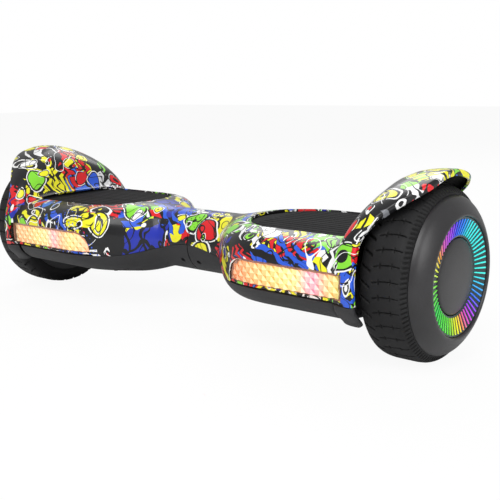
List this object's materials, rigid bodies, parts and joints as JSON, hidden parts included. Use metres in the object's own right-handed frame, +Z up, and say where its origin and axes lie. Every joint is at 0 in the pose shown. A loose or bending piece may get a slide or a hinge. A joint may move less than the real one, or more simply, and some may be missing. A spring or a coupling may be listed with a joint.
{
  "type": "self balancing hoverboard",
  "caption": "Self balancing board: twisting halves on a centre pivot, sprung foot pads, hub motor wheels under flared fenders, front lights and a lit ring on each wheel.",
  "frame": {"origin": "on the floor, halfway between the wheels and below the axle line", "axes": "+X along the board towards the right wheel, +Y to the rear (the lights face -Y), +Z up"},
  "size_m": [0.621, 0.194, 0.1795],
  "materials": {
    "printed_shell": "glossy ABS under a printed film of many colours",
    "lower_shell": "fine textured matte ABS",
    "light_lens": "clear moulded polycarbonate with a faceted back",
    "light_tray": "white reflector",
    "circuit_board": "green board",
    "cast_frame": "as cast",
    "battery_wrap": "blue shrink wrap over cells",
    "steel": "ground",
    "black_screw": "blackened",
    "stator_steel": "laminated",
    "copper_wire": "enamelled winding",
    "magnet": "plated",
    "cable_jacket": "smooth jacket",
    "bronze_bush": "sintered bush",
    "foot_rubber": "moulded rubber",
    "tyre_rubber": "solid rubber",
    "hub_casting": "painted casting",
    "wheel_plastic": "smooth satin ABS",
    "lit_ring": "translucent ring with lit spokes",
    "fitting_plastic": "moulded",
    "button_plastic": "moulded"
  },
  "bodies": {
    "left_half": {"frame_left": "cast_frame", "top_shell_left": "printed_shell", "bottom_shell_left": "lower_shell", "fender_left": "printed_shell", "light_lens_left": "light_lens", "light_housing_left": "light_tray", "light_board_left": "circuit_board", "sensor_board_left": "circuit_board", "axle_clamp_left": "cast_frame", "clamp_screws_left": "black_screw", "axle_left": "steel", "stator_left": "stator_steel", "coils_left": "copper_wire", "motor_cable_left": "cable_jacket", "shell_screws_left": "black_screw", "battery_pack": "battery_wrap", "pivot_tube": "steel", "pivot_circlip": "steel", "harness": "cable_jacket", "charge_socket": "fitting_plastic", "power_switch": "fitting_plastic"},
    "right_half": {"frame_right": "cast_frame", "top_shell_right": "printed_shell", "bottom_shell_right": "lower_shell", "fender_right": "printed_shell", "light_lens_right": "light_lens", "light_housing_right": "light_tray", "light_board_right": "circuit_board", "sensor_board_right": "circuit_board", "axle_clamp_right": "cast_frame", "clamp_screws_right": "black_screw", "axle_right": "steel", "stator_right": "stator_steel", "coils_right": "copper_wire", "motor_cable_right": "cable_jacket", "shell_screws_right": "black_screw", "main_board": "circuit_board", "pivot_bush": "bronze_bush"},
    "wheel_left": {"tyre_left": "tyre_rubber", "rotor_left": "hub_casting", "magnets_left": "magnet", "hub_cover_left": "hub_casting", "wheel_bearings_left": "steel", "wheel_trim_left": "wheel_plastic", "led_ring_left": "lit_ring", "centre_cap_left": "wheel_plastic"},
    "foot_pad_left": {"foot_pad_left": "foot_rubber", "pad_plungers_left": "foot_rubber"},
    "wheel_right": {"tyre_right": "tyre_rubber", "rotor_right": "hub_casting", "magnets_right": "magnet", "hub_cover_right": "hub_casting", "wheel_bearings_right": "steel", "wheel_trim_right": "wheel_plastic", "led_ring_right": "lit_ring", "centre_cap_right": "wheel_plastic"},
    "foot_pad_right": {"foot_pad_right": "foot_rubber", "pad_plungers_right": "foot_rubber"},
    "power_button": {"power_button": "button_plastic"},
    "charge_cap": {"charge_cap": "foot_rubber"}
  },
  "joints": [
    {"name": "half_twist", "type": "hinge", "parent": "left_half", "child": "right_half", "pos_m": [0, 0, 0.0825], "axis": [1, 0, 0], "range_deg": [-15, 15]},
    {"name": "wheel_left_spin", "type": "hinge", "parent": "left_half", "child": "wheel_left", "pos_m": [-0.2725, 0, 0.0825], "axis": [1, 0, 0], "continuous": true},
    {"name": "wheel_right_spin", "type": "hinge", "parent": "right_half", "child": "wheel_right", "pos_m": [0.2725, 0, 0.0825], "axis": [1, 0, 0], "continuous": true},
    {"name": "pad_left_press", "type": "slide", "parent": "left_half", "child": "foot_pad_left", "axis": [0, 0, 1], "range_m": [-0.002, 0], "stiffness_N_per_m": 3000, "springref_m": 0.002},
    {"name": "pad_right_press", "type": "slide", "parent": "right_half", "child": "foot_pad_right", "axis": [0, 0, 1], "range_m": [-0.002, 0], "stiffness_N_per_m": 3000, "springref_m": 0.002},
    {"name": "button_press", "type": "slide", "parent": "left_half", "child": "power_button", "axis": [0, -1, 0], "range_m": [0, 0.0015], "stiffness_N_per_m": 400, "springref_m": -0.0005},
    {"name": "cap_swing", "type": "hinge", "parent": "left_half", "child": "charge_cap", "pos_m": [-0.142, 0.09255, 0.04], "axis": [-1, 0, 0], "range_deg": [0, 100]}
  ]
}
